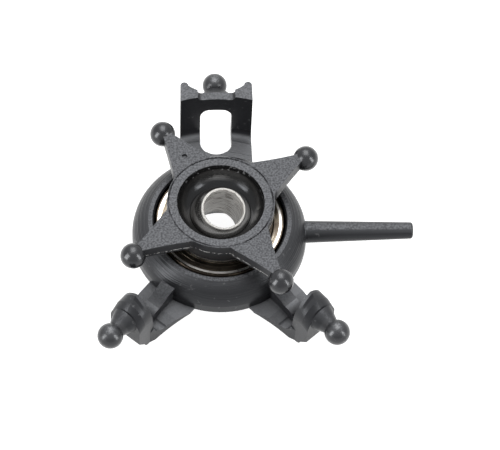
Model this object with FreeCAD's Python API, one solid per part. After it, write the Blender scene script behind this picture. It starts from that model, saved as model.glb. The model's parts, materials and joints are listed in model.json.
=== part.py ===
import FreeCAD, Part
import math
import os

# Swashplate of a micro helicopter: a moulded outer plate with a guide pin and
# three servo arms, a four-armed star that turns in it on a shielded ball
# bearing, and a steel uniball that tilts in the star's socket.
# Millimetres. Z is the rotor axis, up, and the guide pin points along +X. Heights
# are drawn from a plane 0.3 above the ring's lip; save() stores every piece with the
# uniball's centre at the origin.

# --- Driving dimensions ---------------------------------------------------

# Uniball and main shaft
shaft_diameter = 3.0
uniball_diameter = 5.0
uniball_height = -0.31
uniball_end_cut = 0.34
uniball_neck_wall = 0.22
uniball_bore_edge = 0.05
uniball_rim_edge = 0.1
lean_angle = 12.8
lean_azimuth = 291.9

# Ball bearing, whose bore leaves a wall of the star round the uniball
socket_wall = 0.47
bearing_section = 2.0
bearing_width = 3.0
bearing_edge = 0.2
inner_race_wall = 0.62
outer_race_wall = 0.65
bearing_ball = 1.19
bearing_ball_count = 10
groove_conformity = 1.05
shield_inset = 0.08
shield_sheet = 0.12
shield_rebate = 0.16
cage_height = 1.6
cage_width = 0.46
clip_width = 0.16
clip_thickness = 0.07
clip_gap_angle = 24.0
clip_gap_azimuth = 200.0

# Outer plate
lip_height = -0.3
lip_width = 0.45
ring_width = 1.2
ring_bulge = 0.62
ring_bulge_drop = 0.36
shoulder_drop = 1.75
ring_depth = 2.65
hub_depth = 3.65
hub_wall = 0.65
bearing_recess = 0.15
race_ledge = 0.45
seat_edge = 0.12
ring_edge = 0.12

# Guide pin
pin_height = -2.25
pin_root_diameter = 1.7
pin_tip_diameter = 1.28
pin_reach = 14.83
pin_tip_round = 0.3

# Link balls, all of one size
link_ball = 1.92

# Servo arms
servo_ball_reach = 12.77
servo_ball_height = -0.835
front_arm_angle = 139.0
arm_fold_reach = 9.45
arm_wall_lean = 0.45
arm_wall_top = 1.45
arm_wall_thickness = 0.62
arm_foot_thickness = 1.0
arm_floor_height = -2.05
arm_fold_height = -3.15
arm_bottom_height = -4.15
arm_corner = 0.45
arm_belly_hollow = 0.2

rear_arm_width = 5.55
rear_fold_height = -2.5
rear_bottom_height = -3.6
rear_slot_width = 2.45
rear_slot_start = 7.11
rear_slot_nose = 1.5
rear_slot_top = 0.2
rear_slot_corner = 0.7
rear_step_reach = 7.41
rear_step = 0.07
rear_valley_width = 2.9
ear_tip_width = 0.62
ear_hollow = 0.03
ear_rise = 0.35
ear_reach = 11.25
ear_foot_reach = 10.75
stem_root_width = 2.8
stem_neck_width = 1.0

front_post_width = 2.8
front_wall_lean = 0.27
front_boss_reach = 11.1
front_boss_top = -0.02
front_boss_foot = -2.9
front_post_top = 1.24
front_post_rise = 2.44
front_post_thickness = 0.2
front_slope_reach = 10.45
front_slope_top = 0.75
front_outer_width = 1.45
front_inner_width = 2.6
front_rib_offset = 0.3
front_rib_width = 1.15
front_rib_height = 0.75
front_rib_reach = 8.2
front_rib_end = 9.2
front_neck_diameter = 2.2
front_neck_tip = 1.25

# Star
star_top = 2.2
star_thickness = 1.05
star_rim_width = 0.12
star_corner = 0.45
star_ball_reach = 7.85
star_ball_height = 1.54
star_arm_azimuth = 32.56
star_arm_root_width = 3.15
star_arm_tip_width = 0.7
star_arm_neck_reach = 7.2
star_dimple = 0.42
star_dimple_reach = 4.88
star_dimple_depth = 0.18
star_edge = 0.08
star_waist_reach = 1.2
star_waist = 0.52
star_shoulder_step = 0.2
star_foot_taper = 0.5
star_foot_height = 0.2
land_setback = 0.07
tube_wall = 0.22

# Socket cap pressed into the star, and the collar under the inner race
cap_flange_width = 0.63
cap_flange = 0.4
cap_wall = 0.75
cap_mouth_spread = 0.05
cap_dish = 0.72
cap_dish_rise = 0.36
cap_throat_drop = 1.5
cap_foot_height = 0.06
seat_foot_rise = 1.3
collar_height = 0.35
collar_edge = 0.1

# Clearances
ball_clearance = 0.03
running_clearance = 0.06
press_clearance = 0.004
cut_over = 0.1

# --- Places worked out from them --------------------------------------------

origin = FreeCAD.Vector(0, 0, 0)
axis_x = FreeCAD.Vector(1, 0, 0)
axis_z = FreeCAD.Vector(0, 0, 1)

uniball_length = uniball_diameter - uniball_end_cut
uniball_neck_diameter = shaft_diameter + 2 * uniball_neck_wall
socket_radius = uniball_diameter / 2 + ball_clearance

bearing_bore = 2 * (socket_radius + socket_wall)
bearing_outer = bearing_bore + 2 * bearing_section
inner_land = bearing_bore + 2 * inner_race_wall
outer_land = bearing_outer - 2 * outer_race_wall
lip_diameter = bearing_outer + 2 * lip_width
ring_diameter = lip_diameter + 2 * ring_width
hub_diameter = bearing_outer + 2 * hub_wall

cap_barrel_diameter = uniball_diameter + 2 * cap_wall
cap_mouth = cap_barrel_diameter + 2 * cap_mouth_spread
cap_flange_diameter = cap_mouth + 2 * cap_flange_width
cap_throat_height = uniball_diameter / 2 - cap_throat_drop
seat_foot_height = seat_foot_rise - uniball_diameter / 2

star_hub_diameter = cap_flange_diameter + 2 * star_rim_width
star_shoulder_diameter = star_hub_diameter - 2 * star_shoulder_step
star_foot_diameter = inner_land - 2 * land_setback
collar_diameter = star_foot_diameter
tube_mouth = bearing_bore - 2 * tube_wall

race_top = lip_height - bearing_recess
race_foot = race_top - bearing_width
race_middle = race_top - bearing_width / 2
pitch_radius = (inner_land + outer_land) / 4
groove_radius = bearing_ball / 2 * groove_conformity
shield_height = bearing_width / 2 - shield_inset
front_azimuths = {"left": 90 + front_arm_angle, "right": 90 - front_arm_angle}


# --- Shape helpers ------------------------------------------------------------

def closed_face(start, steps, to_point):
    """Face inside a closed outline; a step is a point, or (middle, end) of an arc."""
    edges = []
    first = to_point(*start)
    here = first
    for step in steps:
        if isinstance(step[0], tuple):
            middle = to_point(*step[0])
            end = to_point(*step[1])
            edges.append(Part.Arc(here, middle, end).toShape())
        else:
            end = to_point(*step)
            edges.append(Part.makeLine(here, end))
        here = end
    if not here.isEqual(first, 1e-7):
        edges.append(Part.makeLine(here, first))
    return Part.Face(Part.Wire(edges))


def turned(start, *steps):
    """Solid of revolution about Z from an outline in radius and height."""
    face = closed_face(start, steps, lambda r, z: FreeCAD.Vector(r, 0, z))
    return face.revolve(origin, axis_z, 360)


def side_plate(half_width, start, *steps):
    """Outline in reach (X) and height (Z), as thick as the width along Y."""
    face = closed_face(start, steps, lambda x, z: FreeCAD.Vector(x, -half_width, z))
    return face.extrude(FreeCAD.Vector(0, 2 * half_width, 0))


def plan_plate(low, high, start, *steps):
    """Outline in X and Y, from one height to another."""
    face = closed_face(start, steps, lambda x, y: FreeCAD.Vector(x, y, low))
    return face.extrude(FreeCAD.Vector(0, 0, high - low))


def front_plate(near, far, start, *steps):
    """Outline in Y and Z, from one reach along X to another."""
    face = closed_face(start, steps, lambda y, z: FreeCAD.Vector(near, y, z))
    return face.extrude(FreeCAD.Vector(far - near, 0, 0))


def turned_about_z(shape, azimuth):
    """Copy of a shape turned about the rotor axis."""
    copy = shape.copy()
    copy.rotate(origin, axis_z, azimuth)
    return copy


def ball_at(diameter, reach, height):
    """Link ball on the XZ plane, poles up and down."""
    return Part.makeSphere(diameter / 2, FreeCAD.Vector(reach, 0, height))


def sphere_radius(radius, height):
    """Radius of a sphere's circle at a height above its centre."""
    return math.sqrt(radius**2 - height**2)


def save(name, shape):
    """Write one sub-part to its own file, with the uniball's centre at the origin."""
    placed = shape.removeSplitter()
    placed.translate(FreeCAD.Vector(0, 0, -uniball_height))
    placed.exportStep("parts/" + name + ".step")


# --- Outer plate ----------------------------------------------------------------

def plate_ring():
    """Ring with the bearing's seat, a domed shoulder and a narrower hub below."""
    seat = bearing_outer / 2 + press_clearance
    lip = lip_diameter / 2
    wide = ring_diameter / 2
    hub = hub_diameter / 2
    crown = lip_height - shoulder_drop
    rim = lip_height - ring_depth
    foot = lip_height - hub_depth
    bulge_r = lip + ring_width * ring_bulge
    bulge_z = lip_height - shoulder_drop * ring_bulge_drop
    return turned(
        (seat, race_foot),
        (seat, lip_height - seat_edge),
        (seat + seat_edge, lip_height),
        (lip, lip_height),
        ((bulge_r, bulge_z), (wide, crown)),
        (wide, rim + ring_edge),
        (wide - ring_edge, rim),
        (hub, rim - ring_edge),
        (hub, foot + ring_edge),
        (hub - ring_edge, foot),
        (seat - race_ledge, foot),
        (seat - race_ledge, race_foot),
    )


def guide_pin():
    """Tapered pin along +X, moulded into the ring, with a rounded end."""
    start = hub_diameter / 2 - ring_edge
    wall = ring_diameter / 2
    taper = (pin_root_diameter - pin_tip_diameter) / 2 / (pin_reach - wall)
    root = pin_root_diameter / 2 + taper * (wall - start)
    tip = pin_tip_diameter / 2
    soft = tip * pin_tip_round
    face = closed_face(
        (start, 0),
        (
            (start, root),
            (pin_reach - soft, tip),
            ((pin_reach - soft * 0.29, tip - soft * 0.29), (pin_reach, tip - soft)),
            (pin_reach, 0),
        ),
        lambda x, z: FreeCAD.Vector(x, 0, z),
    )
    pin = face.revolve(origin, axis_x, 360)
    pin.translate(FreeCAD.Vector(0, 0, pin_height))
    return pin


def arm_section(step, fold_height, bottom, wall):
    """Side view of an arm: a floor out of the ring, a fold and a rising wall.

    The step is how much the floor stands up next to the ring; the wall is the
    outline from its top inside edge to its outer foot.
    """
    root = hub_diameter / 2 - ring_edge
    under = lip_height - ring_depth
    fold = arm_fold_reach
    foot = fold + arm_foot_thickness
    corner = arm_corner
    near = ring_diameter / 2 - ring_edge
    belly = ((near + fold) / 2, (under + ring_edge + bottom) / 2 + arm_belly_hollow)
    slope = (fold_height + corner / 2 - arm_floor_height) / (fold - 2 * corner - root)
    step_height = arm_floor_height + slope * (rear_step_reach - root)
    ledge = ((rear_step_reach, step_height + step), (rear_step_reach + step, step_height))
    return closed_face(
        (root, arm_floor_height + step),
        (
            *(ledge if step else ()),
            (fold - 2 * corner, fold_height + corner / 2),
            (
                (fold - 0.35 * corner, fold_height + 0.45 * corner),
                (fold + 0.05, fold_height + 1.6 * corner),
            ),
            *wall,
            (foot, bottom + corner),
            ((foot - 0.3 * corner, bottom + 0.3 * corner), (foot - corner, bottom)),
            (fold, bottom),
            (belly, (near, under + ring_edge)),
            (root, under + ring_edge),
        ),
        lambda x, z: FreeCAD.Vector(x, 0, z),
    )


def rear_slot():
    """Opening through the floor, up over the fold and into the wall."""
    half = rear_slot_width / 2
    corner = rear_slot_corner
    soft = corner * (1 - math.sqrt(0.5))
    beyond = ear_reach + 1
    nose = rear_slot_start + rear_slot_nose
    floor_cut = plan_plate(
        rear_bottom_height - 1, rear_fold_height + arm_corner * 2,
        (nose, -half),
        (beyond, -half),
        (beyond, half),
        (nose, half),
        ((rear_slot_start, 0), (nose, -half)),
    )
    wall_cut = front_plate(
        arm_fold_reach - 1, beyond,
        (-half, rear_fold_height),
        (half, rear_fold_height),
        (half, rear_slot_top - corner),
        ((half - soft, rear_slot_top - soft), (half - corner, rear_slot_top)),
        (corner - half, rear_slot_top),
        ((soft - half, rear_slot_top - soft), (-half, rear_slot_top - corner)),
    )
    return floor_cut.fuse(wall_cut)


def rear_ear(side):
    """Web that stands out from one edge of the rear wall."""
    edge = rear_arm_width / 2
    inner = arm_fold_reach + arm_wall_lean
    top = arm_wall_top + ear_rise
    plate = side_plate(
        edge,
        (inner + 0.1, top),
        (ear_reach, top),
        (ear_foot_reach, rear_bottom_height + 2 * arm_corner),
        (ear_foot_reach - arm_corner, rear_bottom_height + arm_corner),
        (arm_fold_reach + 0.3, rear_bottom_height + arm_corner),
    )
    tip = ear_tip_width
    nose = tip / 2
    root_edge = rear_valley_width / 2
    foot = inner + arm_wall_thickness
    slope = ((foot + ear_reach - nose) / 2 - ear_hollow, (root_edge + edge - tip) / 2)
    strip = plan_plate(
        rear_bottom_height, top,
        (arm_fold_reach, side * edge),
        (arm_fold_reach, side * root_edge),
        (foot, side * root_edge),
        ((slope[0], side * slope[1]), (ear_reach - nose, side * (edge - tip))),
        ((ear_reach, side * (edge - nose)), (ear_reach - nose, side * edge)),
    )
    return plate.common(strip)


def rear_valley():
    """Space between the ears, above the wall's lower top edge."""
    half = rear_valley_width / 2
    return front_plate(
        arm_fold_reach - 1, ear_reach + 1,
        (ear_rise - half, arm_wall_top),
        (half - ear_rise, arm_wall_top),
        ((half - 0.3 * ear_rise, arm_wall_top + 0.3 * ear_rise),
         (half, arm_wall_top + ear_rise + 0.01)),
        (-half, arm_wall_top + ear_rise + 0.01),
        ((0.3 * ear_rise - half, arm_wall_top + 0.3 * ear_rise),
         (ear_rise - half, arm_wall_top)),
    )


def rear_stem():
    """Gusset from the top of the rear wall down into the ball."""
    root = arm_fold_reach + arm_wall_lean + 0.1
    neck = servo_ball_reach - 0.62 * link_ball / 2
    top = servo_ball_height + 0.62 * link_ball / 2
    low = servo_ball_height - 0.55 * link_ball / 2

    def frame(x, half, bottom, height):
        corners = [(-half, bottom), (half, bottom), (half, height), (-half, height)]
        points = [FreeCAD.Vector(x, y, z) for y, z in corners]
        return Part.makePolygon(points + points[:1])

    wide_end = frame(root, stem_root_width / 2, rear_slot_top - 0.1, arm_wall_top)
    slim_end = frame(neck, stem_neck_width / 2, low, top)
    return Part.makeLoft([wide_end, slim_end], True, True)


def rear_arm():
    """Wide slotted arm with two ears, over the +Y side; modelled along +X."""
    inner = arm_fold_reach + arm_wall_lean
    top = arm_wall_top + ear_rise
    wall = [(inner, top), (inner + arm_wall_thickness, top)]
    half_sweep = 25
    bowl = arm_section(rear_step, rear_fold_height, rear_bottom_height, wall)
    bowl = bowl.revolve(origin, axis_z, 2 * half_sweep)
    bowl = turned_about_z(bowl, -half_sweep)
    slab = Part.makeBox(
        ear_reach, rear_arm_width, 20, FreeCAD.Vector(0, -rear_arm_width / 2, -10)
    )
    ears = [rear_ear(side) for side in (-1, 1)]
    body = bowl.common(slab).multiFuse(ears).cut(rear_slot()).cut(rear_valley())
    ball = ball_at(link_ball, servo_ball_reach, servo_ball_height)
    return turned_about_z(body.multiFuse([rear_stem(), ball]), 90)


def front_plan(side):
    """Plan of a front arm: broad towards the front of the plate, narrow at the post."""
    root = hub_diameter / 2 - ring_edge
    ring = ring_diameter / 2
    post = front_post_width / 2
    return plan_plate(
        arm_bottom_height - 1, arm_wall_top + 1,
        (root, -side * front_outer_width),
        (ring, -side * front_outer_width),
        (arm_fold_reach - arm_corner, -side * post),
        (front_boss_reach + 1, -side * post),
        (front_boss_reach + 1, side * post),
        (arm_fold_reach + arm_corner, side * post),
        (ring, side * front_inner_width),
        (root, side * front_inner_width),
    )


def arch_wire(reach, top, rise, drop):
    """Section of a post: straight sides under two arcs that meet at the top.

    The rise is the arcs' height; the drop is the share of it that they have
    fallen by at seven tenths of the half width.
    """
    half = front_post_width / 2
    foot = arm_bottom_height - 1

    def at(y, z):
        return FreeCAD.Vector(reach, y, z)

    spring = top - rise
    flank = top - rise * drop
    return Part.Wire([
        Part.makeLine(at(-half, foot), at(half, foot)),
        Part.makeLine(at(half, foot), at(half, spring)),
        Part.Arc(at(half, spring), at(0.7 * half, flank), at(0, top)).toShape(),
        Part.Arc(at(0, top), at(-0.7 * half, flank), at(-half, spring)).toShape(),
        Part.makeLine(at(-half, spring), at(-half, foot)),
    ])


def front_post():
    """Post whose pointed inner face eases out to a round boss's face."""
    half = front_post_width / 2
    edge = arm_fold_reach + front_wall_lean + front_post_thickness
    sections = [
        arch_wire(arm_fold_reach - 0.2, front_post_top, front_post_rise, 0.4),
        arch_wire(edge, front_post_top, front_post_rise, 0.4),
        arch_wire(edge + 0.2, front_post_top - 0.25, front_post_rise - 0.35, 0.38),
        arch_wire(front_slope_reach, front_slope_top, 1.35 * half, 0.33),
        arch_wire(front_boss_reach, front_boss_top, half, 0.29),
    ]
    return Part.makeLoft(sections, True, True)


def front_arm(side):
    """Arm with a floor, a rib and a round-topped post; side is +1 or -1."""
    face = arm_section(0, arm_fold_height, arm_bottom_height, [
        (arm_fold_reach + front_wall_lean, arm_wall_top),
        (front_boss_reach, arm_wall_top),
        (front_boss_reach, front_boss_foot),
    ])
    face.translate(FreeCAD.Vector(0, -front_inner_width, 0))
    channel = face.extrude(FreeCAD.Vector(0, 2 * front_inner_width, 0))
    floor = channel.common(front_plan(side)).common(Part.makeBox(
        arm_fold_reach + arm_corner, 20, 10,
        FreeCAD.Vector(0, -10, arm_fold_height + arm_corner - 10),
    ))
    post = channel.common(front_post())
    rib = side_plate(
        front_rib_width / 2,
        (lip_diameter / 2, lip_height - shoulder_drop * 0.7),
        (ring_diameter / 2, arm_floor_height + front_rib_height),
        (front_rib_reach, arm_fold_height + arm_corner + front_rib_height),
        ((front_rib_end - 0.15, arm_fold_height + arm_corner + 0.45 * front_rib_height),
         (front_rib_end, arm_fold_height)),
        (hub_diameter / 2, arm_floor_height - 0.4),
    )
    rib.translate(FreeCAD.Vector(0, side * front_rib_offset, 0))
    neck_start = front_boss_reach - 0.1
    neck_end = servo_ball_reach - 0.6 * link_ball / 2
    neck = Part.makeCone(
        front_neck_diameter / 2, front_neck_tip / 2, neck_end - neck_start,
        FreeCAD.Vector(neck_start, 0, servo_ball_height), axis_x,
    )
    ball = ball_at(link_ball, servo_ball_reach, servo_ball_height)
    return floor.multiFuse([post, rib, neck, ball])


def outer_plate():
    """Ring, guide pin and servo arms in one moulding."""
    left = turned_about_z(front_arm(1), front_azimuths["left"])
    right = turned_about_z(front_arm(-1), front_azimuths["right"])
    plate = plate_ring().multiFuse([guide_pin(), rear_arm(), left, right])
    bore = Part.makeCylinder(
        bearing_outer / 2 + press_clearance, bearing_width + 1,
        FreeCAD.Vector(0, 0, race_foot),
    )
    return plate.cut(bore)


# --- Ball bearing ---------------------------------------------------------------

def groove():
    """Ring that cuts the balls' track into both races: eight sides round each ball."""
    flat = groove_radius * math.tan(math.pi / 8)
    sides = (
        (-groove_radius, -flat), (-flat, -groove_radius),
        (flat, -groove_radius), (groove_radius, -flat),
        (groove_radius, flat), (flat, groove_radius),
        (-flat, groove_radius), (-groove_radius, flat),
    )
    return turned(*[(pitch_radius + r, race_middle + z) for r, z in sides])


def shield_step(sign):
    """Rebate in the outer race that takes one shield and its wire."""
    inner = outer_land / 2 - cut_over
    outer = outer_land / 2 + shield_rebate
    face = race_middle + sign * (bearing_width / 2 + cut_over)
    floor = race_middle + sign * (shield_height - shield_sheet)
    return turned((inner, floor), (outer, floor), (outer, face), (inner, face))


def outer_race():
    """Bearing's outer ring with its groove and the two shield rebates."""
    rim = bearing_outer / 2
    land = outer_land / 2
    ring = turned(
        (land, race_foot),
        (rim - bearing_edge, race_foot),
        (rim, race_foot + bearing_edge),
        (rim, race_top - bearing_edge),
        (rim - bearing_edge, race_top),
        (land, race_top),
    )
    return ring.cut(groove()).cut(shield_step(1)).cut(shield_step(-1))


def inner_race():
    """Bearing's inner ring, on the star's tube."""
    bore = bearing_bore / 2
    land = inner_land / 2
    ring = turned(
        (bore, race_foot + bearing_edge),
        (bore + bearing_edge, race_foot),
        (land, race_foot),
        (land, race_top),
        (bore + bearing_edge, race_top),
        (bore, race_top - bearing_edge),
    )
    return ring.cut(groove())


def bearing_shield(sign):
    """Pressed sheet ring with a shallow step, clear of the inner ring."""
    inner = inner_land / 2 + running_clearance
    outer = outer_land / 2 + shield_rebate - press_clearance
    middle = (inner + outer) / 2
    face = race_middle + sign * (shield_height - press_clearance)
    back = face - sign * (shield_sheet - 2 * press_clearance)
    dish = sign * shield_inset / 2
    return turned(
        (inner, back - dish),
        (middle - 0.05, back - dish),
        (middle + 0.05, back),
        (outer, back),
        (outer, face),
        (middle + 0.02, face),
        (middle - 0.08, face - dish),
        (inner, face - dish),
    )


def shield_clip(sign):
    """Open ring that holds a shield in its rebate."""
    outer = outer_land / 2 + shield_rebate - press_clearance
    inner = outer - clip_width
    near = race_middle + sign * shield_height
    far = near + sign * clip_thickness
    outline = [(inner, near), (outer, near), (outer, far), (inner, far)]
    points = [FreeCAD.Vector(r, 0, z) for r, z in outline]
    face = Part.Face(Part.makePolygon(points + points[:1]))
    ring = face.revolve(origin, axis_z, 360 - clip_gap_angle)
    return turned_about_z(ring, clip_gap_azimuth + clip_gap_angle / 2)


def bearing_ball_at(index):
    """One of the bearing's balls."""
    angle = 360 / bearing_ball_count * index
    ball = Part.makeSphere(bearing_ball / 2, FreeCAD.Vector(pitch_radius, 0, race_middle))
    return turned_about_z(ball, angle)


def cage():
    """Ribbon cage with a round window for each ball."""
    inner = pitch_radius - cage_width / 2
    outer = pitch_radius + cage_width / 2
    low = race_middle - cage_height / 2
    high = race_middle + cage_height / 2
    ring = turned((inner, low), (outer, low), (outer, high), (inner, high))
    window = Part.makeCylinder(
        bearing_ball / 2 + running_clearance, 2,
        FreeCAD.Vector(pitch_radius - 1, 0, race_middle), axis_x,
    )
    step = 360 / bearing_ball_count
    return ring.cut([turned_about_z(window, step * n) for n in range(bearing_ball_count)])


# --- Star, socket and uniball ------------------------------------------------------

def star_hub():
    """Hub disc, shoulder and tube, bored for the uniball's seat and the cap."""
    disc = star_hub_diameter / 2
    under = star_top - star_thickness
    shoulder = star_shoulder_diameter / 2
    base = star_foot_diameter / 2
    tube = bearing_bore / 2 - press_clearance
    foot = race_foot - collar_height
    recess = cap_flange_diameter / 2 + press_clearance
    ledge = star_top - cap_flange
    barrel = cap_barrel_diameter / 2 + press_clearance
    seat = socket_radius
    seat_foot = sphere_radius(seat, seat_foot_height)
    waist = seat_foot_height * 0.6
    mouth = tube_mouth / 2
    return turned(
        (recess, star_top),
        (disc, star_top),
        (disc, under),
        (shoulder + star_edge, under),
        (shoulder, under - star_edge),
        (shoulder, race_top + star_foot_taper),
        (base, race_top + star_foot_height),
        (base, race_top),
        (tube, race_top),
        (tube, foot + collar_edge),
        (tube - collar_edge / 2, foot),
        (mouth, foot),
        (seat_foot, uniball_height + seat_foot_height),
        ((sphere_radius(seat, waist), uniball_height + waist), (seat, uniball_height)),
        (barrel, uniball_height),
        (barrel, ledge),
        (recess, ledge),
    )


def star_arm():
    """Tapered flat arm along +X with its link ball, rounded into the hub's rim."""
    root = star_arm_root_width / 2
    tip = star_arm_tip_width / 2
    hub = star_hub_diameter / 2
    waist = hub + star_waist_reach
    seam = (cap_flange_diameter + star_hub_diameter) / 4
    centre = FreeCAD.Vector(0, root + star_corner, 0)
    centre.x = sphere_radius(hub + star_corner, centre.y)
    inward = (centre * -1).normalize()
    middle = centre + (inward + FreeCAD.Vector(0, -1, 0)).normalize() * star_corner
    rim = inward * -hub
    start = inward * -seam
    blade = plan_plate(
        star_top - star_thickness, star_top,
        (start.x, -start.y),
        (rim.x, -rim.y),
        ((middle.x, -middle.y), (centre.x, -root)),
        ((waist, star_waist - root), (star_arm_neck_reach, -tip)),
        (star_ball_reach, -tip),
        (star_ball_reach, tip),
        (star_arm_neck_reach, tip),
        ((waist, root - star_waist), (centre.x, root)),
        ((middle.x, middle.y), (rim.x, rim.y)),
        (start.x, start.y),
        ((seam, 0), (start.x, -start.y)),
    )
    return blade.fuse(ball_at(link_ball, star_ball_reach, star_ball_height))


def star():
    """Four arms on one hub, with a moulding dimple on the second arm."""
    arms = [turned_about_z(star_arm(), star_arm_azimuth + 90 * n) for n in range(4)]
    body = star_hub().multiFuse(arms)
    dimple = Part.makeCylinder(
        star_dimple / 2, star_dimple_depth + 1,
        FreeCAD.Vector(star_dimple_reach, 0, star_top - star_dimple_depth),
    )
    return body.cut(turned_about_z(dimple, star_arm_azimuth + 90))


def socket_cap():
    """Dished cap that holds the uniball from above, flush in the star."""
    flange = cap_flange_diameter / 2
    barrel = cap_barrel_diameter / 2
    ledge = star_top - cap_flange
    throat = sphere_radius(socket_radius, cap_throat_height)
    foot = sphere_radius(socket_radius, cap_foot_height)
    middle = (cap_throat_height + cap_foot_height) / 2
    mouth = cap_mouth / 2
    low = uniball_height + cap_foot_height
    neck = uniball_height + cap_throat_height
    rise = star_top - neck
    return turned(
        (foot, low),
        (barrel, low),
        (barrel, ledge),
        (flange, ledge),
        (flange, star_top),
        (mouth, star_top),
        ((throat + (mouth - throat) * cap_dish, neck + rise * cap_dish_rise), (throat, neck)),
        ((sphere_radius(socket_radius, middle), uniball_height + middle), (foot, low)),
    )


def race_collar():
    """Collar pressed on the star's tube to keep the inner race on it."""
    bore = bearing_bore / 2
    outer = collar_diameter / 2
    top = race_foot
    foot = race_foot - collar_height
    return turned(
        (bore, top),
        (outer, top),
        (outer, foot + collar_edge),
        (outer - collar_edge, foot),
        (bore, foot),
    )


def uniball():
    """Bored steel ball with a short neck at both ends, leaning as it rests."""
    radius = uniball_diameter / 2
    bore = shaft_diameter / 2
    neck = uniball_neck_diameter / 2
    half = uniball_length / 2
    root = sphere_radius(radius, neck)
    rim = half - uniball_rim_edge
    soft = uniball_rim_edge * (1 - math.sqrt(0.5))
    ball = turned(
        (bore, uniball_bore_edge - half),
        (bore + uniball_bore_edge, -half),
        (neck - uniball_rim_edge, -half),
        ((neck - soft, soft - half), (neck, -rim)),
        (neck, -root),
        ((radius, 0), (neck, root)),
        (neck, rim),
        ((neck - soft, half - soft), (neck - uniball_rim_edge, half)),
        (bore + uniball_bore_edge, half),
        (bore, half - uniball_bore_edge),
    )
    hinge = turned_about_z(Part.Vertex(0, 1, 0), lean_azimuth).Point
    ball.rotate(origin, hinge, lean_angle)
    ball.translate(FreeCAD.Vector(0, 0, uniball_height))
    return ball


# --- Write the sub-parts --------------------------------------------------------------

os.makedirs("parts", exist_ok=True)

save("outer_plate", outer_plate())
save("outer_race", outer_race())
save("inner_race", inner_race())
for level, sign in (("upper", 1), ("lower", -1)):
    save("bearing_shield_" + level, bearing_shield(sign))
    save("shield_clip_" + level, shield_clip(sign))
save("cage", cage())
for index in range(bearing_ball_count):
    save("bearing_ball_" + str(index + 1).zfill(2), bearing_ball_at(index))
save("star", star())
save("socket_cap", socket_cap())
save("race_collar", race_collar())
save("uniball", uniball())
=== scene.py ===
import json
import math

import bpy
import numpy as np
from mathutils import Matrix, Vector


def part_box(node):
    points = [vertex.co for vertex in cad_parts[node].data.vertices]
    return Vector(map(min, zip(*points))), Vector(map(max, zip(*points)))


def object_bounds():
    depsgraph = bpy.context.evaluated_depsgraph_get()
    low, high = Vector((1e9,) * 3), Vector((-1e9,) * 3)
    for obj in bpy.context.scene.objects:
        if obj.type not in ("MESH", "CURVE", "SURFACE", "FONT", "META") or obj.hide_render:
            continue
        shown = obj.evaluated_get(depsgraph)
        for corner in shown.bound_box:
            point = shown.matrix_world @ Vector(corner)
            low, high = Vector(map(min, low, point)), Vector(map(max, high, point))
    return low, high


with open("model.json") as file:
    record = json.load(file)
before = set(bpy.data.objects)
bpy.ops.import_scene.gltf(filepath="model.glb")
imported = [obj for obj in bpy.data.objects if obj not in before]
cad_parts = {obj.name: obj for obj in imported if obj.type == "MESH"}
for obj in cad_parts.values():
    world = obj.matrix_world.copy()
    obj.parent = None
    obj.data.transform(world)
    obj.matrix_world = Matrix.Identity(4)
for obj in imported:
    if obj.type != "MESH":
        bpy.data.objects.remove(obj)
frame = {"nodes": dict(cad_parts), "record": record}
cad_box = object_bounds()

# Sizes on the part are in millimetres, and MM turns them into metres. The origin is the
# uniball's centre, and z runs up along the bearing's axis.
MM = 0.001

# --- Camera and light ------------------------------------------------------------------

VIEW_AZIMUTH = -5.608
VIEW_ELEVATION = 57.962
VIEW_ROLL = 3.999
VIEW_DISTANCE_MM = 179.83
AIM_RIGHT_MM = 2.269
AIM_UP_MM = -0.421
AIM_HEIGHT_MM = 0.01
LENS_MM = 171.03
SENSOR_MM = 36.0
NEAREST_SEEN_MM = 5.0

# Each softbox: its direction as shares of the camera's right, up and back, its distance
# in metres, its width and height in metres, and its power in watts.
SOFTBOXES = {
    "softbox_top": ((0.02, 0.82, 0.57), 0.42, (0.26, 0.38), 2.5),
    "softbox_left": ((-0.81, -0.16, 0.58), 0.45, (0.18, 0.40), 2.4),
    "softbox_right": ((0.83, -0.16, 0.54), 0.45, (0.13, 0.40), 1.7),
}
# The tent's strength as a light, and how much white the floor adds to what is seen of it.
TENT_STRENGTH = 0.10
FLOOR_WHITE = 0.95
PAPER = (0.32, 0.32, 0.32)
PAPER_ROUGHNESS = 0.9
FLOOR_SIZE_MM = 900.0
FLOOR_GAP_MM = 0.02

# --- Sizes of the part, from the frame -------------------------------------------------

MOUNTS = {mount["name"]: mount for mount in frame["record"]["mounts"]}


def top_of(node):
    """Height of a CAD node's top."""
    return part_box(node)[1].z / MM


def radius_of(node):
    """Radius of a round CAD node."""
    low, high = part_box(node)
    return (high.x - low.x) / 2 / MM


def place_of(mount):
    """A mount's distance from the bearing's axis, and its height."""
    x, y, z = MOUNTS[mount]["pos_m"]
    return math.hypot(x, y) / MM, z / MM


SHAFT_AXIS = MOUNTS["main_shaft_bore"]["axis"]
SHAFT_RADIUS = MOUNTS["main_shaft_bore"]["dims"]["r_mm"]
BORE_END = MOUNTS["main_shaft_bore"]["dims"]["length_mm"] / 2
RACE_RADIUS = radius_of("outer_race")
LIP_WIDTH = 0.45
RING_WIDTH = 1.2
CROWN_RADIUS = RACE_RADIUS + LIP_WIDTH + RING_WIDTH / 2
CAP_RADIUS = radius_of("socket_cap")
CAP_TOP = top_of("socket_cap")
CAP_FLANGE_WIDTH = 0.63
MOUTH_RADIUS = CAP_RADIUS - CAP_FLANGE_WIDTH
STAR_THICKNESS = 1.05
STAR_MIDDLE = CAP_TOP - STAR_THICKNESS / 2
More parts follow.
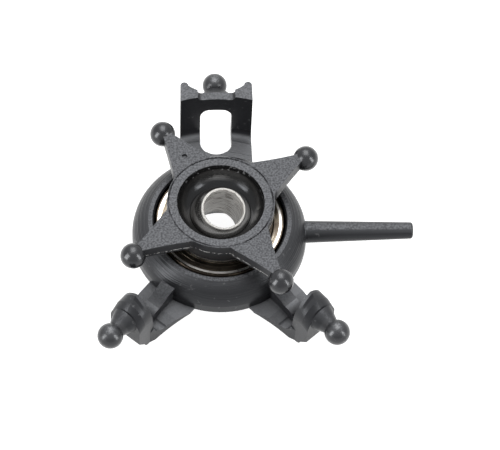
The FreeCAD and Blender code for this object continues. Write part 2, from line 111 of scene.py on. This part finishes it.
# The polish of the link balls starts a little way in from their centres, and on the plate
# only above the guide pin, which reaches out past them.
STAR_POLISH_WAY = 0.75
PLATE_POLISH_WAY = 1.17
PIN_HALF_HEIGHT = 0.79
STAR_BALLS_FROM = place_of("star_ball_1")[0] - STAR_POLISH_WAY
PLATE_BALLS_FROM = place_of("servo_ball_rear")[0] - PLATE_POLISH_WAY
PIN_TOP = place_of("guide_pin")[1] + PIN_HALF_HEIGHT
# Height under which the floors of the arms get more painted light.
ARM_FLOOR = -1.65

# --- Shader maths ----------------------------------------------------------------------


class Field:
    """A shader value. Sums, differences and products of fields become maths nodes."""

    def __init__(self, tree, source):
        self.tree = tree
        self.source = source

    def feed(self, socket):
        """Sets a socket to this value, by a link or as a plain value."""
        if isinstance(self.source, bpy.types.NodeSocket):
            self.tree.links.new(self.source, socket)
        else:
            socket.default_value = self.source

    def node(self, kind, settings, values, output=0):
        """A new node's output, from its type, settings and sockets' values or links."""
        node = self.tree.nodes.new("ShaderNode" + kind)
        for name, setting in settings.items():
            setattr(node, name, setting)
        for name, value in values.items():
            field = value if isinstance(value, Field) else Field(self.tree, value)
            field.feed(node.inputs[name])
        return Field(self.tree, node.outputs[output])

    def maths(self, kind, *others):
        """This value combined with others by one Math node."""
        return self.node("Math", {"operation": kind}, dict(enumerate((self, *others))))

    def __add__(self, other):
        return self.maths("ADD", other)

    def __sub__(self, other):
        return self.maths("SUBTRACT", other)

    def __mul__(self, other):
        return self.maths("MULTIPLY", other)

    def __rsub__(self, other):
        return Field(self.tree, other).maths("SUBTRACT", self)

    __radd__ = __add__
    __rmul__ = __mul__

    def sine(self):
        return self.maths("SINE")

    def size(self):
        """This value without its sign."""
        return self.maths("ABSOLUTE")

    def root(self):
        return self.maths("SQRT")

    def rise(self, low, high):
        """0 below low and 1 above high, with a smooth step between."""
        settings = {"interpolation_type": "SMOOTHSTEP"}
        values = {"Value": self, "From Min": low, "From Max": high}
        return self.node("MapRange", settings, values)

    def fall(self, low, high):
        """1 below low and 0 above high, with a smooth step between."""
        return 1 - self.rise(low, high)

    def near(self, centre, half, soft):
        """1 within half of centre, falling to 0 over soft on both sides."""
        return (self - centre).size().fall(half, half + soft)

    def part(self, axis):
        """One component of a vector."""
        return self.node("SeparateXYZ", {}, {"Vector": self}, axis)

    def dot(self, other):
        """Scalar product of two vectors."""
        settings = {"operation": "DOT_PRODUCT"}
        return self.node("VectorMath", settings, {0: self, 1: other}, "Value")


class Finish:
    """One material: a Principled shader with fields of place to paint it by."""

    def __init__(self, name, colour, metal=0.0, tint=(1, 1, 1)):
        self.material = bpy.data.materials.new(name)
        self.material.use_nodes = True
        tree = self.material.node_tree
        self.shader = tree.nodes["Principled BSDF"]
        self.shader.inputs["Metallic"].default_value = metal
        self.shader.inputs["Specular Tint"].default_value = (*tint, 1)
        self.shader.inputs["Coat Roughness"].default_value = COAT_ROUGHNESS
        self.shader.inputs["Specular IOR Level"].default_value = SHEEN
        self.start = Field(tree, 0.0)
        metres = self.node("TexCoord", {}, {}, "Object")
        self.place = self.node("Mapping", {}, {"Vector": metres, "Scale": (1 / MM,) * 3})
        self.x, self.y, self.z = [self.place.part(axis) for axis in range(3)]
        self.upward = self.node("TexCoord", {}, {}, "Normal").part(2)
        self.radius = (self.x * self.x + self.y * self.y).root()
        self.turn = self.y.maths("ARCTAN2", self.x)
        self.colour = Field(tree, (*colour, 1))
        self.relief_mm = None

    def node(self, kind, settings, values, output=0):
        """The same new node as Field makes, in this material."""
        return self.start.node(kind, settings, values, output)

    def at(self, x, y, z):
        """A place built from three fields."""
        return self.node("CombineXYZ", {}, {0: x, 1: y, 2: z})

    def noise(self, per_mm, detail=2.0, place=None):
        """Noise between 0 and 1, with about per_mm blotches to a millimetre of place."""
        values = {"Vector": place or self.place, "Scale": per_mm, "Detail": detail}
        return self.node("TexNoise", {}, values)

    def specks(self, per_mm):
        """1 inside small round specks, in one in 24 of the cells of size 1 / per_mm."""
        values = {"Vector": self.place, "Scale": per_mm}
        picked = self.node("TexVoronoi", {}, values, "Color").part(0).rise(0.955, 0.96)
        away = self.node("TexVoronoi", {}, values, "Distance")
        return away.fall(SPECK_RADIUS * per_mm, SPECK_RADIUS * per_mm * 1.5) * picked

    def tint(self, amount, colour):
        """Moves the base colour towards another where amount nears 1."""
        values = {MIX_FACTOR: amount, MIX_FROM: self.colour, MIX_TO: (*colour, 1)}
        self.colour = self.node("Mix", {"data_type": "RGBA"}, values, MIX_RESULT)

    def raise_mm(self, height):
        """Adds a height in millimetres to the relief."""
        self.relief_mm = self.relief_mm + height if self.relief_mm else height

    def done(self, roughness):
        """Links colour, roughness and bump to the shader and returns the material."""
        self.colour.feed(self.shader.inputs["Base Color"])
        roughness.maths("MAXIMUM", MIRROR).feed(self.shader.inputs["Roughness"])
        if self.relief_mm:
            values = {"Distance": 1.0, "Height": self.relief_mm * MM}
            self.node("Bump", {}, values).feed(self.shader.inputs["Normal"])
        return self.material


# --- Materials -------------------------------------------------------------------------

# Places of the Mix node's colour sockets, whose names repeat.
MIX_FACTOR = 0
MIX_FROM = 6
MIX_TO = 7
MIX_RESULT = 2

# Specular level of every finish, the coat on the link balls, and the least roughness.
SHEEN = 0.27
POLISH = 0.35
COAT_ROUGHNESS = 0.25
MIRROR = 0.04

# Black plastic, the tint of its gloss, its grain and the painted light that pales its
# flats, the painted shade of its dish and of the gap round the cap, and what wears and
# dusts it.
BLACK = (0.010, 0.0102, 0.0114)
DISH_SHADE = (0.007, 0.007, 0.007)
COOL = (0.92, 0.95, 1.0)
GRAIN_AND_TOP_LIGHT = (0.088, 0.090, 0.096)
PAINTED_LIGHT_ON_FLATS = (0.095, 0.097, 0.102)
GAP_SHADE = (0.004, 0.004, 0.0045)
WORN = (0.20, 0.20, 0.205)
FLASH = (0.46, 0.46, 0.45)
DUST = (0.55, 0.55, 0.53)

# Steel, its greys, what stains it, and the painted reflection and painted shade on the
# uniball.
STEEL = (0.80, 0.775, 0.735)
TARNISH = (0.20, 0.165, 0.12)
OIL_AND_DARK_REFLECTION = (0.035, 0.028, 0.022)
SHIELD_GREY = (0.10, 0.085, 0.065)
CLEAN_LINE = (0.45, 0.40, 0.32)
PAINTED_END_SHADE = (0.19, 0.186, 0.178)
BORE_GREY = (0.10, 0.097, 0.09)
DRILL_MARK = (0.07, 0.058, 0.045)

# Roughness that each finish starts from.
WALL_ROUGHNESS = 0.22
SATIN_ROUGHNESS = 0.27
DISH_ROUGHNESS = 0.15
GROUND_ROUGHNESS = 0.2
POLISHED_ROUGHNESS = 0.12
LAPPED_ROUGHNESS = 0.05

# How closely turned lines follow each other, in radians or noise blotches to the mm.
CROWN_LINES = 24
FINE_CROWN_LINES = 61
DISH_LINES = 40
RACE_LINES = 5
DRILL_LINES = 7
LAPPING_LINES = 26

# How fine the grain is, and how high, deep or wide each mark.
GRAIN_PER_MM = 6.8
PLATE_GRAIN_PER_MM = 6.5
GRAIN_DEPTH = 0.014
PLATE_GRAIN_DEPTH = 0.012
CROWN_LINE_DEPTH = 0.0045
DISH_LINE_DEPTH = 0.0005
FLASH_HEIGHT = 0.03
FLASH_DROP = 0.2
FLASH_WANDER = 0.22
SPECK_RADIUS = 0.03
CAP_GAP = 0.02
CAP_GAP_WANDER = 0.16
CAP_GAP_DEPTH = 0.05
CAP_CHIP_DEPTH = 0.2
CAP_LIP_WIDTH = 0.03
DARK_RACE_EDGE = 0.3
RACE_LINE_DEPTH = 0.003
SHIELD_LINE_DEPTH = 0.004
DRILL_DEPTH = 0.09
LAPPING_DEPTH = 0.0012


def grain(finish, per_mm, depth, flats):
    """Fine eroded grain of a mould's wall, coarse noise over fine, paler on the flats by
    painted light.
    """
    coarse = finish.noise(per_mm, detail=3.0)
    fine = finish.noise(per_mm * 2.3)
    finish.raise_mm((coarse + fine * 0.5) * (flats + 0.3) * depth)
    # Painted light: the grain's grey goes only on the upward flats, so they come out paler.
    finish.tint(coarse.rise(0.32, 0.68) * flats * 0.9, GRAIN_AND_TOP_LIGHT)
    return coarse


def cap_gap(finish, radius, wander):
    """Gap round the cap, for painted shade: a circle that noise pushes to and fro, darker
    in places.
    """
    ragged = finish.noise(6.0, detail=3.0)
    strength = finish.noise(1.1).rise(0.35, 0.6) * 0.75 + 0.25
    circle = finish.radius + (ragged - 0.5) * wander
    return circle.near(radius, half=0.014, soft=0.03) * strength


def plate_plastic():
    """Moulded black nylon: matt flats paler by painted light, glossier walls, turned lines
    on the crown.
    """
    finish = Finish("plate_plastic", BLACK, tint=COOL)
    flat = finish.upward.rise(0.88, 0.97)
    coarse = grain(finish, PLATE_GRAIN_PER_MM, PLATE_GRAIN_DEPTH, flat)
    low = finish.z.fall(ARM_FLOOR, ARM_FLOOR + 0.3)
    # Painted light: upward faces are lightened, most of all the low floors of the arms,
    # where the walls shade them.
    finish.tint(finish.upward.rise(0.6, 0.95) * (low * 0.65 + 0.2), PAINTED_LIGHT_ON_FLATS)
    flow = finish.noise(0.45)
    crown = finish.radius.near(CROWN_RADIUS, half=RING_WIDTH / 2, soft=0.12)
    wide_lines = (finish.radius * CROWN_LINES + flow * 6).sine()
    fine_lines = (finish.radius * FINE_CROWN_LINES + flow * 9).sine()
    lines = (wide_lines + fine_lines) * crown * finish.upward.rise(0.2, 0.6)
    finish.raise_mm(lines * CROWN_LINE_DEPTH)
    above_pin = finish.z.rise(PIN_TOP, PIN_TOP + 0.2)
    ends = finish.radius.rise(PLATE_BALLS_FROM, PLATE_BALLS_FROM + 0.2) * above_pin
    scuffs = finish.noise(2.4, detail=4.0).rise(0.64, 0.74)
    finish.tint(scuffs * 0.22, WORN)
    finish.tint(finish.specks(0.8), DUST)
    (ends * POLISH).feed(finish.shader.inputs["Coat Weight"])
    uneven = coarse * 0.10 + flow * 0.14 + flat * 0.16
    return finish.done(WALL_ROUGHNESS + uneven - ends * 0.03)


def star_plastic():
    """Moulded star: grained matt top paler by painted light, satin sides with the mould's
    flash, glossy balls.
    """
    finish = Finish("star_plastic", BLACK, tint=COOL)
    top = finish.upward.rise(0.85, 0.97)
    balls = finish.radius.rise(STAR_BALLS_FROM, STAR_BALLS_FROM + 0.15)
    coarse = grain(finish, GRAIN_PER_MM, GRAIN_DEPTH, top * (1 - balls))
    flow = finish.noise(0.5)
    side = finish.upward.size().fall(0.3, 0.6)
    wander = finish.noise(1.8) * FLASH_WANDER
    ragged = finish.noise(5.0, detail=3.0)
    line = (finish.z + wander).near(STAR_MIDDLE - FLASH_DROP, half=0.03, soft=0.02)
    flash = line * side * (1 - balls) * ragged.rise(0.46, 0.54)
    finish.tint(flash, FLASH)
    finish.raise_mm(flash * FLASH_HEIGHT)
    shaded_gap = cap_gap(finish, CAP_RADIUS + CAP_GAP, CAP_GAP_WANDER) * top
    # Painted shade in the narrow gap between the cap and the star.
    finish.tint(shaded_gap, GAP_SHADE)
    finish.raise_mm(shaded_gap * -CAP_GAP_DEPTH)
    finish.tint(finish.specks(0.7), DUST)
    (balls * POLISH).feed(finish.shader.inputs["Coat Weight"])
    satin = SATIN_ROUGHNESS + top * 0.16 + coarse * 0.16 + flow * 0.05
    return finish.done(satin - balls * 0.12 + shaded_gap * 0.5)


def cap_plastic():
    """Socket cap: grained flange with a chipped inner edge, polished dish darkened by
    painted shade.
    """
    finish = Finish("cap_plastic", BLACK, tint=COOL)
    chipped = finish.z + finish.noise(4.0, detail=3.0) * CAP_CHIP_DEPTH
    outside = finish.radius.rise(MOUTH_RADIUS - 0.5, MOUTH_RADIUS - 0.4)
    flange = outside * chipped.rise(CAP_TOP - 0.02, CAP_TOP + 0.02)
    coarse = finish.noise(GRAIN_PER_MM, detail=3.0)
    finish.raise_mm(coarse * flange * GRAIN_DEPTH)
    lines = (finish.radius * DISH_LINES + finish.noise(0.8) * 4).sine()
    finish.raise_mm(lines * (1 - flange) * DISH_LINE_DEPTH)
    # Painted shade: the dish, a recess, is darkened in colour.
    finish.tint(1 - flange, DISH_SHADE)
    # Painted light: the grain's grey goes only on the upward flange.
    finish.tint(flange * coarse.rise(0.32, 0.68) * 0.9, GRAIN_AND_TOP_LIGHT)
    lip = finish.radius.near(MOUTH_RADIUS - 0.02, half=CAP_LIP_WIDTH, soft=0.05)
    finish.tint(lip * finish.noise(3.2, detail=3.0).rise(0.6, 0.66) * 0.6, WORN)
    shaded_gap = cap_gap(finish, CAP_RADIUS - CAP_GAP, -CAP_GAP_WANDER) * flange
    # Painted shade in the narrow gap between the cap and the star.
    finish.tint(shaded_gap, GAP_SHADE)
    finish.raise_mm(shaded_gap * -CAP_GAP_DEPTH)
    smooth = DISH_ROUGHNESS + finish.noise(1.4, detail=3.0) * 0.08
    return finish.done(smooth + flange * 0.24 + coarse * flange * 0.12 + shaded_gap * 0.5)


def turned_noise(finish, per_mm):
    """Noise drawn out round the axis, as turning leaves it."""
    across, up = finish.radius * RACE_LINES, finish.z * RACE_LINES
    drawn_out = finish.at(across, finish.turn * 0.5, up)
    return finish.noise(per_mm, detail=3.0, place=drawn_out)


def race_steel():
    """Ground bearing steel, bright on its face and dark at its outer edge."""
    finish = Finish("race_steel", STEEL, metal=1.0)
    rings = turned_noise(finish, 1.6)
    finish.raise_mm(rings * RACE_LINE_DEPTH)
    edge = RACE_RADIUS - DARK_RACE_EDGE
    finish.tint((finish.radius + rings * 0.08).rise(edge, edge + 0.05), OIL_AND_DARK_REFLECTION)
    finish.tint(finish.noise(0.9, detail=3.0).rise(0.5, 0.72) * 0.35, TARNISH)
    return finish.done(GROUND_ROUGHNESS + rings * 0.18)


def shield_steel():
    """Pressed shield: steel under dark oil, with a few clean turned lines."""
    finish = Finish("shield_steel", SHIELD_GREY, metal=1.0)
    rings = turned_noise(finish, 1.8)
    finish.raise_mm(rings * SHIELD_LINE_DEPTH)
    finish.tint(rings.rise(0.58, 0.66), CLEAN_LINE)
    finish.tint(finish.noise(0.7, detail=3.0).rise(0.45, 0.65) * 0.8, OIL_AND_DARK_REFLECTION)
    return finish.done(GROUND_ROUGHNESS + rings * 0.22)


def polished_steel():
    """Polished uniball: drill marks in its grey bore, ends dimmed by painted shade, a
    painted dark reflection on its outer ball.
    """
    finish = Finish("polished_steel", STEEL, metal=1.0)
    along = finish.place.dot(SHAFT_AXIS)
    from_axis = (finish.place.dot(finish.place) - along * along).root()
    bore = from_axis.fall(SHAFT_RADIUS + 0.01, SHAFT_RADIUS + 0.03)
    end = along.size().rise(BORE_END - 0.08, BORE_END + 0.02) * (1 - bore)
    dark_reflection = from_axis.rise(SHAFT_RADIUS + 0.25, SHAFT_RADIUS + 0.75)
    wander = finish.noise(0.8) * 0.5
    round_bore = finish.at((along + wander) * DRILL_LINES, finish.turn * 1.5, 0.0)
    marks = finish.noise(1.0, detail=4.0, place=round_bore)
    round_ball = finish.at(along * LAPPING_LINES, from_axis * LAPPING_LINES, 0.0)
    rings = finish.noise(1.0, detail=3.0, place=round_ball)
    finish.raise_mm(bore * marks * DRILL_DEPTH + rings * (1 - bore) * LAPPING_DEPTH)
    finish.tint(bore * 0.6, BORE_GREY)
    finish.tint(bore * marks.rise(0.5, 0.58) * 0.9, DRILL_MARK)
    # Painted shade: the ends' colour is dimmed so that they mirror less of the top softbox.
    finish.tint(end, PAINTED_END_SHADE)
    # Painted reflection: the outer ball is darkened as if it mirrored the black socket cup.
    finish.tint(dark_reflection * 0.85, OIL_AND_DARK_REFLECTION)
    (1 - bore * 0.55).feed(finish.shader.inputs["Metallic"])
    uneven = bore * 0.2 + rings * 0.07 + end * 0.28 + dark_reflection * 0.1
    return finish.done(POLISHED_ROUGHNESS + uneven)


def ball_steel():
    """Lapped bearing balls."""
    finish = Finish("ball_steel", STEEL, metal=1.0)
    return finish.done(LAPPED_ROUGHNESS + finish.noise(2.0) * 0.05)


def dress(material, *nodes):
    """Gives CAD nodes a material."""
    for name in nodes:
        mesh = frame["nodes"][name].data
        mesh.materials.clear()
        mesh.materials.append(material)


def dress_all():
    """Puts every CAD node in its finish."""
    shields = [f"{kind}_{level}" for kind in ("bearing_shield", "shield_clip")
               for level in ("upper", "lower")]
    balls = [name for name in frame["nodes"] if name.startswith("bearing_ball")]
    dress(plate_plastic(), "outer_plate")
    dress(star_plastic(), "star")
    dress(cap_plastic(), "socket_cap")
    dress(race_steel(), "outer_race", "inner_race", "race_collar")
    dress(shield_steel(), *shields, "cage")
    dress(polished_steel(), "uniball")
    dress(ball_steel(), *balls)


# --- Stage -----------------------------------------------------------------------------


def camera_axes():
    """The camera's right, up and back directions."""
    azimuth = math.radians(VIEW_AZIMUTH)
    elevation = math.radians(VIEW_ELEVATION)
    roll = math.radians(VIEW_ROLL)
    level = Vector((math.sin(azimuth), -math.cos(azimuth), 0))
    back = level * math.cos(elevation) + Vector((0, 0, math.sin(elevation)))
    right = Vector((math.cos(azimuth), math.sin(azimuth), 0))
    up = back.cross(right)
    across = right * math.cos(roll) + up * math.sin(roll)
    return across, back.cross(across), back


def add_camera():
    """Long lens that looks down on the part from the front."""
    right, up, back = camera_axes()
    aim = right * AIM_RIGHT_MM + up * AIM_UP_MM + Vector((0, 0, AIM_HEIGHT_MM))
    data = bpy.data.cameras.new("camera")
    data.lens = LENS_MM
    data.sensor_width = SENSOR_MM
    data.clip_start = NEAREST_SEEN_MM * MM
    camera = bpy.data.objects.new("camera", data)
    columns = Matrix((right, up, back)).transposed().to_4x4()
    camera.matrix_world = Matrix.Translation((aim + back * VIEW_DISTANCE_MM) * MM) @ columns
    bpy.context.scene.collection.objects.link(camera)
    bpy.context.scene.camera = camera


def add_softbox(name, direction, distance, sides, power):
    """An oblong light that faces the part."""
    right, up, back = camera_axes()
    way = (right * direction[0] + up * direction[1] + back * direction[2]).normalized()
    data = bpy.data.lights.new(name, "AREA")
    data.shape = "RECTANGLE"
    data.size, data.size_y = sides
    data.energy = power
    light = bpy.data.objects.new(name, data)
    light.location = way * distance
    light.rotation_euler = way.to_track_quat("Z", "Y").to_euler()
    bpy.context.scene.collection.objects.link(light)


def in_view(tree):
    """1 for rays from the camera, a gloss or a clear surface, 0 for light and shadow."""
    rays = [f"Is {kind} Ray" for kind in ("Camera", "Glossy", "Transmission")]
    camera, gloss, clear = [Field(tree, 0.0).node("LightPath", {}, {}, ray) for ray in rays]
    return camera.maths("MAXIMUM", gloss).maths("MAXIMUM", clear)


def white_to_the_eye(tree, shader, share):
    """Adds white to a shader where it is looked at, straight or by reflection."""
    glow = shader.node("Emission", {}, {"Strength": in_view(tree) * share})
    return shader.node("AddShader", {}, {0: shader, 1: glow})


def add_floor():
    """Pale level square just under the part: half its side times each pair of signs.

    It is white where it is looked at, and keeps the part's shadow.
    """
    signs = np.array([(-1, -1), (1, -1), (1, 1), (-1, 1)])
    heights = np.full(len(signs), cad_box[0].z - FLOOR_GAP_MM * MM)
    points = np.column_stack((signs * FLOOR_SIZE_MM / 2 * MM, heights))
    mesh = bpy.data.meshes.new("floor")
    mesh.from_pydata(points.tolist(), [], [(0, 1, 2, 3)])
    floor = bpy.data.objects.new("floor", mesh)
    bpy.context.scene.collection.objects.link(floor)
    material = bpy.data.materials.new("floor_paper")
    material.use_nodes = True
    tree = material.node_tree
    paper = tree.nodes["Principled BSDF"]
    paper.inputs["Base Color"].default_value = (*PAPER, 1)
    paper.inputs["Roughness"].default_value = PAPER_ROUGHNESS
    surface = white_to_the_eye(tree, Field(tree, paper.outputs[0]), FLOOR_WHITE)
    surface.feed(tree.nodes["Material Output"].inputs["Surface"])
    mesh.materials.append(material)


def add_tent():
    """Even tent round the part: dim as a light, white where it is looked at."""
    world = bpy.data.worlds.new("tent")
    world.use_nodes = True
    tree = world.node_tree
    background = tree.nodes["Background"]
    background.inputs["Color"].default_value = (1, 1, 1, 1)
    strength = in_view(tree) * (1 - TENT_STRENGTH) + TENT_STRENGTH
    strength.feed(background.inputs["Strength"])
    bpy.context.scene.world = world


dress_all()
add_camera()
for softbox, (direction, distance, sides, power) in SOFTBOXES.items():
    add_softbox(softbox, direction, distance, sides, power)
add_floor()
add_tent()
bpy.context.scene.view_settings.view_transform = "Standard"

bpy.context.view_layer.update()
